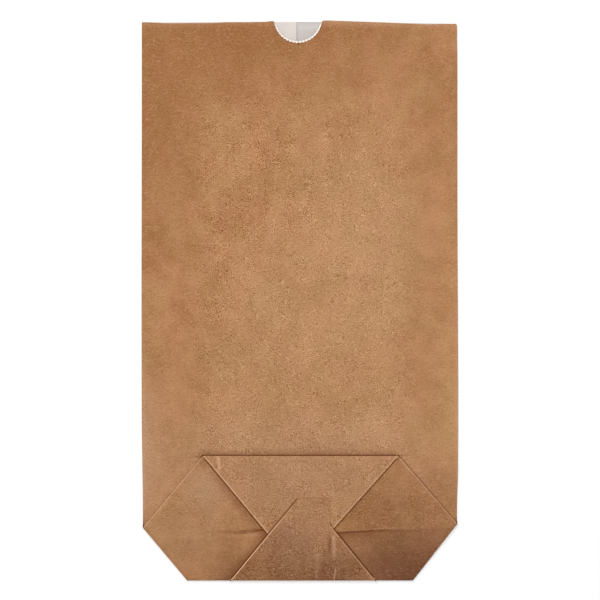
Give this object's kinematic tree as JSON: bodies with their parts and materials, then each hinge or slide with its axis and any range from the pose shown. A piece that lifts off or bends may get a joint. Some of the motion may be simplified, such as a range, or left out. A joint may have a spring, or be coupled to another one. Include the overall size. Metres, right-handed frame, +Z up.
{
  "type": "paper lunch bag",
  "caption": "Flat-folded brown kraft paper bag with a folded and glued cross bottom and a half-round thumb notch in the front wall at the mouth.",
  "frame": {"origin": "centre of the bounding box at its base, on the outer face of the back wall", "axes": "+Y towards the mouth, +Z up through the front wall and the folded bottom, +X to the right seen from above"},
  "size_m": [0.16, 0.2828, 0.0076],
  "materials": {
    "kraft_paper": "matte"
  },
  "bodies": {
    "root": {"paper_bag": "kraft_paper"}
  },
  "joints": []
}
